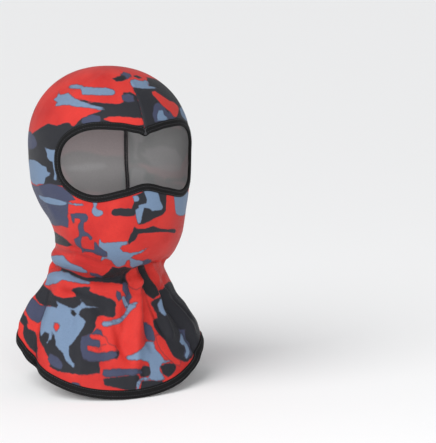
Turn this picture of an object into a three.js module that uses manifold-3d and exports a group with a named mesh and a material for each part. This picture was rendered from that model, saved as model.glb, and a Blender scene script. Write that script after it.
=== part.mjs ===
// A stretch balaclava: one printed jersey hood with a goggle-shaped eye opening and a flared neck cape.
// Millimetres, +Z up, the face looks along -Y and the wearer's left is +X.
// The origin is the head seat: the point inside the crown that rests on the top of the head.
import * as THREE from 'three';
import { mergeVertices } from 'three/addons/utils/BufferGeometryUtils.js';
import Module from 'manifold-3d';

const wasm = await Module();
wasm.setup();

// Cloth, tape and thread
const CLOTH = 0.8; // thickness of the jersey
const TAPE = 0.7; // thickness of the folded elastic binding
const TAPE_WIDTH = 6.8; // width of the binding on each face of the cloth
const THREAD = 0.5; // diameter of the textured sewing thread
const GAP = 0.45; // clearance between pieces that touch
const FOLD_SOFTNESS = 0.6; // share of the gap at which the corners of the folded tape start to turn

// Rows of needle stitches on a binding, measured across it from the edge of the cloth
const OUTER_ROW = -5.4;
const INNER_ROW = -1.6;

// Overlocked centre seam. It runs over the crown and then hangs round to the wearer's left
const SEAM = {
  headTurn: THREE.MathUtils.degToRad(37), // how far round from the middle of the back, at eye level
  hemTurn: THREE.MathUtils.degToRad(16), // and at the hem
  standIn: 0.9, // from the cloth to the first thread
  looperNear: 1.2, // the loops swing between these two distances from the seam
  looperFar: 4.8,
};

// Bar tacks over the joins of the bindings
const TACK = { turn: THREE.MathUtils.degToRad(0.8), inset: 0.6, foldInset: 0.4, thickness: 0.6 };
const BROW_JOIN = 0.0008; // share of the opening's edge left free at the join
const HEM_JOIN = 0.003; // angle left free at the join of the hem

// The crown is a dome on an oval, the size of an adult head
const DOME = { height: 87, power: 2.15 };

// Ovals from the dome's foot down to the hem. Front and back are measured from the middle of the head, and a
// positive fullness makes an oval wider towards the face and narrower behind
const SECTIONS = [
  { below: 87, halfWidth: 87.5, front: 102, back: 100, fullness: 0 }, // temples
  { below: 115, halfWidth: 86.5, front: 101, back: 98, fullness: 0 },
  { below: 128, halfWidth: 85.5, front: 101, back: 95, fullness: 0 }, // cheekbones
  { below: 142, halfWidth: 82.5, front: 101, back: 87, fullness: 0 },
  { below: 155, halfWidth: 78, front: 101, back: 77, fullness: 0.01 }, // mouth
  { below: 169, halfWidth: 72, front: 99, back: 67, fullness: 0.09 },
  { below: 183, halfWidth: 68.5, front: 95, back: 60, fullness: 0.11 }, // jaw, with the nape behind
  { below: 199, halfWidth: 67, front: 86, back: 57, fullness: 0.02 }, // chin
  { below: 214, halfWidth: 65, front: 68, back: 58, fullness: -0.03 },
  { below: 224, halfWidth: 63.5, front: 56, back: 61, fullness: -0.1 }, // throat
  { below: 234, halfWidth: 66, front: 54, back: 65, fullness: -0.1 },
  { below: 246, halfWidth: 71.5, front: 56, back: 69, fullness: -0.12 },
  { below: 259, halfWidth: 80, front: 60, back: 74, fullness: -0.1 }, // the cape starts to flare
  { below: 272, halfWidth: 91, front: 68, back: 79, fullness: -0.03 },
  { below: 287, halfWidth: 101, front: 79, back: 84, fullness: 0 },
  { below: 304, halfWidth: 106.5, front: 90, back: 86, fullness: 0 }, // hem over the shoulders
];

// The cape hangs lower in front and behind than over the shoulders, turned a little to the wearer's right
const CAPE = { start: 232, end: 304, frontDrop: 51, backDrop: 37, sideTilt: 7, turn: THREE.MathUtils.degToRad(-16) };

// Cloth edge of the eye opening, from the brow round the wearer's left side to the bridge of the nose:
// degrees round the head from the middle of the face, and how far under the crown
const EYE_EDGE = [
  { angle: 0, below: 65 },
  { angle: 19, below: 60.5 },
  { angle: 41, below: 61.5 },
  { angle: 56, below: 74 },
  { angle: 62, below: 97 },
  { angle: 56.5, below: 118.5 },
  { angle: 39, below: 131 },
  { angle: 17, below: 125.5 },
  { angle: 0, below: 119.5 },
];

// Mesh densities
const FRONT_COLUMNS = 28; // over the face, where the opening is cut
const BACK_COLUMNS = 28;
const FRONT_ANGLE = THREE.MathUtils.degToRad(72); // half of the sector that counts as the face
const DOME_ROWS = 12;
const BODY_ROWS = 25;
const EYE_STEPS = 60; // steps round the eye opening
const SEAM_STEPS = 80; // steps along the centre seam

const sectionTable = new THREE.CubicInterpolant(
  SECTIONS.map((section) => section.below),
  SECTIONS.flatMap(({ halfWidth, front, back, fullness }) => [halfWidth, front, back, fullness]),
  4,
);

// Oval at one depth under the crown
function sectionAt(below) {
  const [halfWidth, front, back, fullness] = sectionTable.evaluate(Math.max(below, DOME.height));
  if (below >= DOME.height) {
    return { halfWidth, front, back, fullness };
  }
  const rise = 1 - Math.max(below, 0) / DOME.height;
  const reach = (1 - rise ** DOME.power) ** (1 / DOME.power);
  return { halfWidth: halfWidth * reach, front: front * reach, back: back * reach, fullness };
}

// How much lower than the shoulders the hem hangs at one angle
function hemDrop(angle) {
  const turned = angle - CAPE.turn;
  const ahead = Math.cos(turned);
  const softEdge = 0.03; // keeps the hem round where it passes over the shoulders
  const away = Math.sqrt(ahead * ahead + softEdge) - Math.sqrt(softEdge);
  const deepest = (CAPE.frontDrop + CAPE.backDrop) / 2 + (CAPE.frontDrop - CAPE.backDrop) / 2 * ahead;
  return deepest * Math.tanh(1.05 * away) / Math.tanh(1) + CAPE.sideTilt * Math.sin(turned);
}

// Point on the outside of the cloth: angle round the head from the middle of the face, and depth under the crown
function surfacePoint(angle, below) {
  const { halfWidth, front, back, fullness } = sectionAt(below);
  const share = THREE.MathUtils.clamp((below - CAPE.start) / (CAPE.end - CAPE.start), 0, 1);
  const lowered = (THREE.MathUtils.smoothstep(share, 0, 1) + share) / 2;
  return new THREE.Vector3(
    halfWidth * Math.sin(angle) * (1 + fullness * Math.cos(angle)),
    (back - front) / 2 - (front + back) / 2 * Math.cos(angle),
    -below - lowered * hemDrop(angle),
  );
}

// Where the centre seam lies behind the crown, at one depth
function backSeamAngle(below) {
  const toHead = THREE.MathUtils.smoothstep(below, 0, 62);
  const toHem = THREE.MathUtils.smoothstep(below, 130, 290);
  return Math.PI - toHead * (SEAM.headTurn - (SEAM.headTurn - SEAM.hemTurn) * toHem);
}

// Point, slopes and outward normal of the surface
function surfaceFrame(angle, below) {
  const turn = 0.001;
  const step = 0.05;
  const point = surfacePoint(angle, below);
  const around = surfacePoint(angle + turn, below).sub(surfacePoint(angle - turn, below)).divideScalar(2 * turn);
  const down = surfacePoint(angle, below + step).sub(surfacePoint(angle, below - step)).divideScalar(2 * step);
  const normal = around.clone().cross(down).normalize().negate();
  return { point, around, down, normal };
}

function meshGeometry(positions, triangles) {
  const geometry = new THREE.BufferGeometry();
  geometry.setAttribute('position', new THREE.Float32BufferAttribute(positions, 3));
  geometry.setIndex(triangles);
  return geometry;
}

function toSolid(geometry) {
  const merged = mergeVertices(geometry, 1e-4);
  return new wasm.Manifold(new wasm.Mesh({
    numProp: 3,
    vertProperties: new Float32Array(merged.attributes.position.array),
    triVerts: new Uint32Array(merged.index.array),
  }));
}

function toGeometry(solid) {
  const { vertProperties, triVerts } = solid.getMesh();
  return meshGeometry(Array.from(vertProperties), Array.from(triVerts));
}

// Angles of the mesh columns: closer together over the face
function columnAngles() {
  const angles = [];
  for (let i = 0; i < FRONT_COLUMNS; i++) {
    angles.push(-FRONT_ANGLE + 2 * FRONT_ANGLE * i / FRONT_COLUMNS);
  }
  for (let i = 0; i < BACK_COLUMNS; i++) {
    angles.push(FRONT_ANGLE + (2 * Math.PI - 2 * FRONT_ANGLE) * i / BACK_COLUMNS);
  }
  return angles;
}

// Depths of the mesh rows under the crown, without the crown point itself
function rowDepths() {
  const depths = [];
  for (let i = 1; i <= DOME_ROWS; i++) {
    depths.push(DOME.height * (1 - Math.cos(Math.PI / 2 * i / DOME_ROWS)));
  }
  for (let i = 1; i <= BODY_ROWS; i++) {
    depths.push(DOME.height + (CAPE.end - DOME.height) * i / BODY_ROWS);
  }
  return depths;
}

// The hood before its eye opening is cut: an outer skin, an inner skin and the rim of the hem
function closedHood() {
  const angles = columnAngles();
  const depths = rowDepths();
  const positions = [0, 0, 0, 0, 0, -CLOTH];
  for (const inset of [0, CLOTH]) {
    for (const below of depths) {
      for (const angle of angles) {
        const { point, normal } = surfaceFrame(angle, below);
        positions.push(...point.addScaledVector(normal, -inset).toArray());
      }
    }
  }
  const columns = angles.length;
  const rows = depths.length;
  const outer = (row, column) => 2 + row * columns + column % columns;
  const inner = (row, column) => outer(row, column) + rows * columns;
  const triangles = [];
  for (let column = 0; column < columns; column++) {
    const next = column + 1;
    triangles.push(0, outer(0, column), outer(0, next));
    triangles.push(1, inner(0, next), inner(0, column));
    for (let row = 0; row < rows - 1; row++) {
      triangles.push(outer(row, column), outer(row + 1, column), outer(row + 1, next));
      triangles.push(outer(row, column), outer(row + 1, next), outer(row, next));
      triangles.push(inner(row, column), inner(row + 1, next), inner(row + 1, column));
      triangles.push(inner(row, column), inner(row, next), inner(row + 1, next));
    }
    triangles.push(outer(rows - 1, column), inner(rows - 1, column), inner(rows - 1, next));
    triangles.push(outer(rows - 1, column), inner(rows - 1, next), outer(rows - 1, next));
  }
  return meshGeometry(positions, triangles);
}

// The edge of the eye opening as a closed curve in degrees and millimetres under the crown
function eyeCurve() {
  const left = EYE_EDGE.map(({ angle, below }) => new THREE.Vector3(angle, below, 0));
  const right = EYE_EDGE.slice(1, -1).reverse().map(({ angle, below }) => new THREE.Vector3(-angle, below, 0));
  return new THREE.CatmullRomCurve3([...left, ...right], true, 'centripetal');
}

// Places on the cloth along an edge, each with the direction across the edge and off the cloth
function edgeFrames(places) {
  return places.map((place, i) => {
    const before = places[Math.max(i - 1, 0)];
    const after = places[Math.min(i + 1, places.length - 1)];
    const frame = surfaceFrame(place.angle, place.below);
    const along = surfacePoint(after.angle, after.below).sub(surfacePoint(before.angle, before.below)).normalize();
    const across = along.cross(frame.normal).normalize();
    return { ...place, ...frame, across };
  });
}

// Point at a distance across the edge, measured over the curved cloth, and at a height above the cloth
function besideEdge(frame, across, height) {
  const { around, down } = frame;
  const aroundSquared = around.dot(around);
  const downSquared = down.dot(down);
  const mixed = around.dot(down);
  const wantAround = frame.across.dot(around) * across;
  const wantDown = frame.across.dot(down) * across;
  const scale = aroundSquared * downSquared - mixed * mixed;
  const angle = frame.angle + (wantAround * downSquared - wantDown * mixed) / scale;
  const below = frame.below + (wantDown * aroundSquared - wantAround * mixed) / scale;
  const { point, normal } = surfaceFrame(angle, below);
  return point.addScaledVector(normal, height);
}

// Point beside the centre seam, which runs over the crown, so it is measured straight
function besideSeam(frame, across, height) {
  return frame.point.clone().addScaledVector(frame.across, across).addScaledVector(frame.normal, height);
}

// Triangles that fill a flat outline, wound the way the outline runs
function fillOutline(outline) {
  const area = THREE.ShapeUtils.area(outline);
  return THREE.ShapeUtils.triangulateShape(outline, []).map(([a, b, c]) => {
    const agrees = THREE.ShapeUtils.area([outline[a], outline[b], outline[c]]) * area > 0;
    return agrees ? [a, b, c] : [a, c, b];
  });
}

// Sweeps a section of [across, height] points along frames; the section may change from step to step
function sweep(frames, sectionOf, place = besideEdge) {
  const rings = frames.map((frame, i) => sectionOf(i).map(([across, height]) => place(frame, across, height)));
  const size = rings[0].length;
  const positions = rings.flat().flatMap((point) => point.toArray());
  const triangles = [];
  for (let ring = 0; ring < rings.length - 1; ring++) {
    const next = ring + 1;
    for (let i = 0; i < size; i++) {
      const j = (i + 1) % size;
      triangles.push(ring * size + i, ring * size + j, next * size + j);
      triangles.push(ring * size + i, next * size + j, next * size + i);
    }
  }
  const outline = sectionOf(0).map(([across, height]) => new THREE.Vector2(across, height));
  const end = (rings.length - 1) * size;
  for (const [a, b, c] of fillOutline(outline)) {
    triangles.push(a, c, b);
    triangles.push(end + a, end + b, end + c);
  }
  return outwards(meshGeometry(positions, triangles));
}

// Turns a closed mesh whose faces point in
function outwards(geometry) {
  const { array } = geometry.attributes.position;
  const index = geometry.index.array;
  const corner = (k) => new THREE.Vector3().fromArray(array, index[k] * 3);
  let volume = 0;
  for (let k = 0; k < index.length; k += 3) {
    volume += corner(k).dot(corner(k + 1).cross(corner(k + 2)));
  }
  if (volume < 0) {
    for (let k = 0; k < index.length; k += 3) {
      [index[k + 1], index[k + 2]] = [index[k + 2], index[k + 1]];
    }
  }
  return geometry;
}

// Folded tape round a cloth edge: a U with soft corners at the fold
function tapeSection() {
  const over = GAP + TAPE;
  const under = -CLOTH - GAP - TAPE;
  const half = -TAPE_WIDTH / 2;
  return [
    [-TAPE_WIDTH, over],
    [half, over],
    [GAP * FOLD_SOFTNESS, over],
    [over, GAP * FOLD_SOFTNESS],
    [over, -CLOTH - GAP * FOLD_SOFTNESS],
    [GAP * FOLD_SOFTNESS, under],
    [half, under],
    [-TAPE_WIDTH, under],
    [-TAPE_WIDTH, under + TAPE],
    [half, under + TAPE],
    [GAP, under + TAPE],
    [GAP, GAP],
    [half, GAP],
    [-TAPE_WIDTH, GAP],
  ];
}

// Diamond section of a thread whose centre is at [across, height]
function threadSection(across, height) {
  const radius = THREAD / 2;
  return [[across + radius, height], [across, height + radius], [across - radius, height], [across, height - radius]];
}

// Places along the eye opening's edge, from one side of the brow seam right round to the other
function eyePlaces(spare) {
  const curve = eyeCurve();
  const places = [];
  for (let i = 0; i <= EYE_STEPS; i++) {
    const { x, y } = curve.getPointAt(spare + (1 - 2 * spare) * i / EYE_STEPS);
    places.push({ angle: THREE.MathUtils.degToRad(x), below: y });
  }
  return places;
}

// Places along the hem, from one side of the back seam round the front to the other, at the cloth's columns
function hemPlaces(spare) {
  const last = backSeamAngle(CAPE.end) - spare;
  const first = backSeamAngle(CAPE.end) + spare - 2 * Math.PI;
  const closest = 0.02; // columns nearer to the join than this are left out
  const turns = columnAngles().map((angle) => (angle > last ? angle - 2 * Math.PI : angle));
  const between = turns.filter((angle) => angle > first + closest && angle < last - closest).sort((a, b) => a - b);
  return [first, ...between, last].map((angle) => ({ angle, below: CAPE.end }));
}

// Frames of the centre seam: from the brow over the crown and down the back to the hem
function seamFrames() {
  const browEnd = EYE_EDGE[0].below - TAPE_WIDTH - 2;
  const backEnd = CAPE.end - TAPE_WIDTH - 3;
  const backShare = 0.8; // the back is about four fifths of the seam
  const frames = [];
  for (let i = 0; i <= SEAM_STEPS; i++) {
    const share = i / SEAM_STEPS;
    const front = share < 1 - backShare;
    const t = front ? 1 - share / (1 - backShare) : (share - 1 + backShare) / backShare;
    // the rows crowd towards the crown, where the seam runs level
    const below = Math.max(front ? browEnd * t ** 1.6 : backEnd * t ** 1.4, 0.02);
    const { point, normal } = surfaceFrame(front ? 0 : backSeamAngle(below), below);
    frames.push({ point, normal });
  }
  return frames.map((frame, i) => {
    const before = frames[Math.max(i - 1, 0)].point;
    const after = frames[Math.min(i + 1, SEAM_STEPS)].point;
    return { ...frame, across: after.clone().sub(before).cross(frame.normal).normalize() };
  });
}

// Cutter for the eye opening: the outline drawn out from near the head's axis to well outside the cloth,
// with two rings close to the cloth so that its walls follow the outline there
function eyeCutter() {
  const places = eyePlaces(0).slice(0, -1);
  const outline = places.map(({ angle, below }) => new THREE.Vector2(angle, below));
  const reaches = [0.35, 0.96, 1.04, 2.6];
  const positions = [];
  for (const reach of reaches) {
    for (const { angle, below } of places) {
      const { x, y, z } = surfacePoint(angle, below);
      positions.push(x * reach, y * reach, z);
    }
  }
  const count = places.length;
  const end = (reaches.length - 1) * count;
  const triangles = [];
  for (const [a, b, c] of fillOutline(outline)) {
    triangles.push(a, c, b);
    triangles.push(end + a, end + b, end + c);
  }
  for (let ring = 0; ring < end; ring += count) {
    for (let i = 0; i < count; i++) {
      const j = (i + 1) % count;
      triangles.push(ring + i, ring + j, ring + count + j);
      triangles.push(ring + i, ring + count + j, ring + count + i);
    }
  }
  return outwards(meshGeometry(positions, triangles));
}

// Finishes
const jersey = { color: 0xc8362f, roughness: 0.55, metalness: 0 };
const tape = { color: 0x17171a, roughness: 0.7, metalness: 0 };
const thread = { color: 0x1b1b1e, roughness: 0.6, metalness: 0 };

const mask = new THREE.Group();
mask.position.z = CLOTH; // the seat is on the inner face of the crown

function add(name, geometry, finish) {
  const mesh = new THREE.Mesh(geometry, new THREE.MeshStandardMaterial(finish));
  mesh.name = name;
  mask.add(mesh);
}

// The hood, in one piece from crown to hem
add('hood_cloth', toGeometry(toSolid(closedHood()).subtract(toSolid(eyeCutter()))), jersey);

// Bindings: their ends meet at the brow seam and at the back seam
const eyeEdge = edgeFrames(eyePlaces(BROW_JOIN));
const hemEdge = edgeFrames(hemPlaces(HEM_JOIN));
add('eye_binding', sweep(eyeEdge, tapeSection), tape);
add('hem_binding', sweep(hemEdge, tapeSection), tape);

// Two rows of needle thread on the outside of each binding, and one looper thread zigzagging inside
const onTape = GAP + TAPE + GAP + THREAD / 2;
const underTape = -CLOTH - GAP - TAPE - GAP - THREAD / 2;
for (const [edge, frames] of [['eye', eyeEdge], ['hem', hemEdge]]) {
  const trimmed = frames.slice(1, -1);
  add(`${edge}_binding_needle_thread_1`, sweep(trimmed, () => threadSection(OUTER_ROW, onTape)), thread);
  add(`${edge}_binding_needle_thread_2`, sweep(trimmed, () => threadSection(INNER_ROW, onTape)), thread);
  const zigzag = (i) => threadSection(i % 2 ? OUTER_ROW : INNER_ROW, underTape);
  add(`${edge}_binding_looper_thread`, sweep(trimmed, zigzag), thread);
}

// Overlocked centre seam, inside the hood: a straight needle thread and two loopers over the seam's edge
const seam = seamFrames();
const underCloth = -CLOTH - SEAM.standIn - THREAD / 2;
const layer = THREAD + GAP;
const { looperNear, looperFar } = SEAM;
add('centre_seam_needle_thread', sweep(seam, () => threadSection(0, underCloth), besideSeam), thread);
add('centre_seam_upper_looper_thread', sweep(
  seam, (i) => threadSection(i % 2 ? looperNear : looperFar, underCloth), besideSeam), thread);
add('centre_seam_lower_looper_thread', sweep(
  seam, (i) => threadSection(i % 2 ? looperFar : looperNear, underCloth - layer), besideSeam), thread);

// Bar tacks over the joins of the bindings
const tackSection = () => [
  [-TAPE_WIDTH + TACK.inset, onTape + THREAD],
  [-TAPE_WIDTH / 2, onTape + THREAD],
  [-TACK.foldInset, onTape + THREAD],
  [-TACK.foldInset, onTape + THREAD + TACK.thickness],
  [-TAPE_WIDTH / 2, onTape + THREAD + TACK.thickness],
  [-TAPE_WIDTH + TACK.inset, onTape + THREAD + TACK.thickness],
];
const tackPlaces = (middle, below) => [-TACK.turn, 0, TACK.turn].map((turn) => ({ angle: middle + turn, below }));
add('brow_bar_tack', sweep(edgeFrames(tackPlaces(0, EYE_EDGE[0].below)), tackSection), thread);
const backTack = edgeFrames(tackPlaces(backSeamAngle(CAPE.end), CAPE.end));
add('back_bar_tack', sweep(backTack, tackSection), thread);

export default mask;
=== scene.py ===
import math
import bpy
import numpy as np
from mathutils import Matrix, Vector


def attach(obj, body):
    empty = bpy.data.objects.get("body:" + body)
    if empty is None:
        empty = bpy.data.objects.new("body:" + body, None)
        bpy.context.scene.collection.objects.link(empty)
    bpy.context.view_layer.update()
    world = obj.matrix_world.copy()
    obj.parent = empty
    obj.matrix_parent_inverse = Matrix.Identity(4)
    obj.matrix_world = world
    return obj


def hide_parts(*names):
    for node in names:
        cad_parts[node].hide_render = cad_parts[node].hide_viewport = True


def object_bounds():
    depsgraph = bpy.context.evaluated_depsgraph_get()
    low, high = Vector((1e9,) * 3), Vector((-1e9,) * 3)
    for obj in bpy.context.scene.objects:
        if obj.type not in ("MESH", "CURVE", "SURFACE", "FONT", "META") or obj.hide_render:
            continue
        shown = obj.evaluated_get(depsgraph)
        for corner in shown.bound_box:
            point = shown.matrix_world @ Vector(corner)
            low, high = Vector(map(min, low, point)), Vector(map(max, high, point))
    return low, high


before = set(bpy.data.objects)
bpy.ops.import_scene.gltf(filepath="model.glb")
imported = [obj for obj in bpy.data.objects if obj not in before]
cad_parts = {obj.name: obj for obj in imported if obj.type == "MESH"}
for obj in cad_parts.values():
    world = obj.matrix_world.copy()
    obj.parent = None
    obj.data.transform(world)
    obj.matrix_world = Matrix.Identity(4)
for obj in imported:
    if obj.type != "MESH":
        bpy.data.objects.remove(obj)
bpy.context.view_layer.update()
print("frame loaded:", len(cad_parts), "CAD nodes")

toMetres = 0.001  # shapes below are worked out in millimetres

# The hood: ovals from the foot of the crown's dome down to the hem
hood = {
    "thickness": 0.75,
    "seat": 0.8,  # the outer crown stands this far over the head seat
    "domeHeight": 87,
    "domePower": 2.15,
    "leastRadius": 8,  # nearer to the crown than this, a degree counts as no narrower
    "columns": 288,
    "domeRows": 40,
    "bodyRows": 112,
    "closeColumns": (0.35, 0.75, 1.25),  # degrees, more columns beside the seam to hold its groove
    "waleWidth": 1.5,  # millimetres of knit to one degree
    "grainFade": (4, 24),  # depths over which the knit begins at the crown
    "capeStart": 232,
    "hemBelow": 304,
    "frontDrop": 51,
    "backDrop": 37,
    "sideTilt": 7,
    "turn": -16,  # degrees, the cape hangs turned to the wearer's right
    "dropShape": 1.05,  # how steeply the hem falls away from the shoulders
    "shoulderSoftness": 0.03,  # keeps the hem round where it passes over them
    "flatWidth": 0.62,
    "flatLength": 0.42,
    "flatArea": 0.161,
    "sections": [  # below the crown, half width, front, back, fullness towards the face
        (87, 87.5, 102, 100, 0), (115, 86.5, 101, 98, 0), (128, 85.5, 101, 95, 0),
        (142, 82.5, 101, 87, 0), (155, 78, 101, 77, 0.01), (169, 72, 99, 67, 0.09),
        (183, 68.5, 95, 60, 0.11), (199, 67, 86, 57, 0.02), (214, 65, 68, 58, -0.03),
        (224, 63.5, 56, 61, -0.1), (234, 66, 54, 65, -0.1), (246, 71.5, 56, 69, -0.12),
        (259, 80, 60, 74, -0.1), (272, 91, 68, 79, -0.03), (287, 101, 79, 84, 0),
        (304, 106.5, 90, 86, 0),
    ],
}


# cubic from one value to the next, with the slope at each
def hermite(t, start, startSlope, end, endSlope):
    return ((2 * t**3 - 3 * t**2 + 1) * start + (t**3 - 2 * t**2 + t) * startSlope
            + (3 * t**2 - 2 * t**3) * end + (t**3 - t**2) * endSlope)


# the hood's oval at one depth, from a smooth curve through the sections
def sectionAt(below):
    table = np.array(hood["sections"], float)
    depths, values = table[:, 0], table[:, 1:]
    at = np.clip(below, depths[0], depths[-1])
    i = np.clip(np.searchsorted(depths, at, side="right"), 1, len(depths) - 1)
    secants = np.diff(values, axis=0) / np.diff(depths)[:, None]
    slopes = np.vstack([secants[:1], (secants[:-1] + secants[1:]) / 2, secants[-1:]])
    span = (depths[i] - depths[i - 1])[..., None]
    t = (at - depths[i - 1])[..., None] / span
    return hermite(t, values[i - 1], span * slopes[i - 1], values[i], span * slopes[i])


def smooth(value, low, high):
    t = np.clip((value - low) / (high - low), 0, 1)
    return t * t * (3 - 2 * t)


# a rounded ridge of height one
def bell(value, width):
    return np.exp(-(value / width) ** 2)


# degrees from one turn to another by the shorter way
def turnedFrom(degrees, middle=0):
    return (degrees - middle + 180) % 360 - 180


# how much lower than the shoulders the hem hangs at one angle
def hemDrop(angle):
    turned = angle - math.radians(hood["turn"])
    ahead = np.cos(turned)
    away = np.sqrt(ahead**2 + hood["shoulderSoftness"]) - math.sqrt(hood["shoulderSoftness"])
    middle = (hood["frontDrop"] + hood["backDrop"]) / 2
    deepest = middle + (hood["frontDrop"] - hood["backDrop"]) / 2 * ahead
    return deepest * np.tanh(hood["dropShape"] * away) / math.tanh(1) + hood["sideTilt"] * np.sin(turned)


# how far out the dome has come at one depth, as a share of its foot
def domeReach(below):
    rise = np.clip(1 - below / hood["domeHeight"], 0, 1)
    return (1 - rise ** hood["domePower"]) ** (1 / hood["domePower"])


# point on the taut hood: degrees round the head from the middle of the face, and depth under the crown
def hoodPoint(degrees, below):
    angle, below = np.broadcast_arrays(np.radians(degrees), np.asarray(below, float))
    halfWidth, front, back, fullness = np.moveaxis(sectionAt(below), -1, 0)
    reach = domeReach(below)
    halfWidth, front, back = halfWidth * reach, front * reach, back * reach
    share = np.clip((below - hood["capeStart"]) / (hood["hemBelow"] - hood["capeStart"]), 0, 1)
    lowered = (smooth(share, 0, 1) + share) / 2
    x = halfWidth * np.sin(angle) * (1 + fullness * np.cos(angle))
    y = (back - front) / 2 - (front + back) / 2 * np.cos(angle)
    z = hood["seat"] - below - lowered * hemDrop(angle)
    return np.stack([x, y, z], -1)


def unit(vectors):
    return vectors / np.maximum(np.linalg.norm(vectors, axis=-1, keepdims=True), 1e-9)


def slopesOf(surface, degrees, below):
    turn, step = 0.05, 0.05
    around = (surface(degrees + turn, below) - surface(degrees - turn, below)) / (2 * turn)
    down = (surface(degrees, below + step) - surface(degrees, np.maximum(below - step, 0.01))) / (2 * step)
    return around, down, unit(-np.cross(around, down))


# millimetres of cloth per degree at one depth
def degreeWidth(below):
    halfWidth, front, back, _ = np.moveaxis(sectionAt(below), -1, 0)
    radius = (halfWidth + (front + back) / 2) / 2 * domeReach(below)
    return np.maximum(radius, hood["leastRadius"]) * math.pi / 180


# distance in millimetres from points on the hood to a line given in degrees and depth
def distanceToPath(degrees, below, path, closed=False):
    line = np.array(path, float)
    middle = (line[:, 0].min() + line[:, 0].max()) / 2
    wrapped = turnedFrom(degrees, middle) + middle
    width = degreeWidth(below)
    best = np.full(np.shape(degrees), 1e9)
    inside = np.zeros(np.shape(degrees), bool)
    pairs = list(zip(line, np.roll(line, -1, axis=0))) if closed else list(zip(line[:-1], line[1:]))
    for (a0, b0), (a1, b1) in pairs:
        ex, ey = (a1 - a0) * width, b1 - b0
        px, py = (wrapped - a0) * width, below - b0
        t = np.clip((px * ex + py * ey) / np.maximum(ex * ex + ey * ey, 1e-9), 0, 1)
        best = np.minimum(best, np.hypot(px - t * ex, py - t * ey))
        if closed and b0 != b1:
            crosses = (b0 > below) != (b1 > below)
            inside ^= crosses & (wrapped < a0 + (below - b0) / (b1 - b0) * (a1 - a0))
    return np.where(inside, -best, best) if closed else best


# Folds where the slack cloth gathers under the jaw and hangs as a cape: rise, width and route
folds = {
    "napeCrease": (-2.6, 4.2, [(-118, 196), (-95, 199), (-76, 200), (-60, 199), (-47, 204), (-34, 209),
                               (-22, 214)]),
    "napeRoll": (2.6, 6.5, [(-112, 208), (-90, 210), (-70, 210), (-52, 214), (-36, 219), (-20, 222)]),
    "jawCrease": (-5.0, 4.0, [(-112, 221), (-88, 222), (-72, 224), (-58, 227), (-44, 229), (-20, 230),
                              (0, 228), (18, 224), (40, 220), (62, 219)]),
    "collarRoll": (2.4, 6.0, [(-104, 233), (-80, 233), (-60, 236), (-40, 238), (-16, 238), (2, 237)]),
    "chinTuck": (-4.8, 6.0, [(4, 221), (14, 220), (26, 218), (44, 215)]),
    "gather": (-5.0, 4.2, [(18, 226), (22, 234), (24, 244), (26, 256), (27, 268)]),
    "brightRidge": (5.2, 6.0, [(15, 232), (12, 242), (9, 252), (5, 263), (1, 274), (-2, 286)]),
    "shortRidge": (4.4, 4.6, [(33, 240), (35, 250), (34, 262), (32, 272)]),
    "throatHollow": (-4.2, 5.6, [(4, 234), (-2, 246), (-6, 258), (-9, 270)]),
    "shoulderHollow": (-5.5, 7.0, [(45, 246), (47, 260), (48, 276), (51, 292)]),
    "sideRidge": (3.2, 9.0, [(-76, 248), (-72, 262), (-66, 277), (-60, 292)]),
    "sideHollow": (-6.0, 8.0, [(-96, 250), (-88, 262), (-82, 276), (-77, 292), (-74, 302)]),
    "rearFlare": (3.6, 10.0, [(-104, 262), (-100, 280), (-96, 298)]),
    "capeRidge": (2.2, 9.0, [(-44, 250), (-42, 266), (-38, 284)]),
    "capeHollow": (-2.2, 8.0, [(-28, 246), (-25, 262), (-22, 280)]),
    "hemBreak": (1.8, 7.0, [(-72, 289), (-50, 288), (-25, 287), (0, 287), (22, 287)]),
    "leftCapeRidge": (3.2, 11.0, [(78, 240), (82, 262), (86, 290)]),
    "leftCapeHollow": (-3.2, 9.0, [(104, 238), (108, 262), (112, 290)]),
    "backRidge": (3.4, 11.0, [(136, 236), (134, 262), (132, 292)]),
    "backHollow": (-3.0, 9.0, [(158, 234), (160, 262), (162, 290)]),
    "backRidgeRight": (3.0, 11.0, [(188, 236), (190, 262), (194, 292)]),
    "backHollowRight": (-3.0, 9.0, [(216, 232), (218, 262), (222, 290)]),
    "napeTuck": (-2.4, 5.0, [(120, 214), (150, 220), (180, 222), (210, 218), (236, 210)]),
    "napeBulge": (2.0, 7.0, [(120, 226), (150, 232), (180, 234), (210, 230), (240, 224)]),
    "neckWrinkle": (-2.4, 2.8, [(-66, 190), (-52, 193), (-40, 198), (-30, 204)]),
    "neckRipple": (1.7, 3.0, [(-62, 202), (-48, 206), (-36, 211), (-22, 216)]),
    "throatPinch": (-4.4, 3.4, [(22, 213), (27, 221), (32, 230), (38, 240)]),
    "throatRidge": (2.6, 3.4, [(29, 211), (35, 220), (41, 230), (46, 240)]),
    "throatValley": (-6.0, 4.5, [(17, 240), (17, 250), (15, 260), (12, 272)]),
    "spotRim": (-2.6, 2.8, [(-6, 222), (-4, 230), (2, 238), (10, 242)]),
    "collarFine": (-2.6, 3.0, [(-72, 243), (-54, 243), (-38, 247), (-26, 253)]),
    "collarFineLow": (1.6, 3.2, [(-66, 250), (-50, 251), (-36, 256)]),
    "capeSlant": (-3.2, 4.4, [(-14, 262), (-10, 272), (-4, 281), (2, 288)]),
    "capeSlantRight": (-2.0, 4.5, [(-52, 262), (-46, 274), (-42, 286)]),
    "leftTuck": (-3.2, 4.5, [(58, 236), (62, 248), (64, 262), (66, 276)]),
    "leftRoll": (2.6, 5.5, [(56, 252), (58, 266), (58, 282)]),
    "crownPull": (0.8, 3.2, [(-34, 8), (-46, 16), (-58, 26)]),
    "cheekPull": (-0.9, 5.0, [(-74, 150), (-62, 162), (-56, 176)]),
    "templePull": (0.7, 6.0, [(-86, 120), (-82, 140), (-80, 160)]),
}

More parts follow.
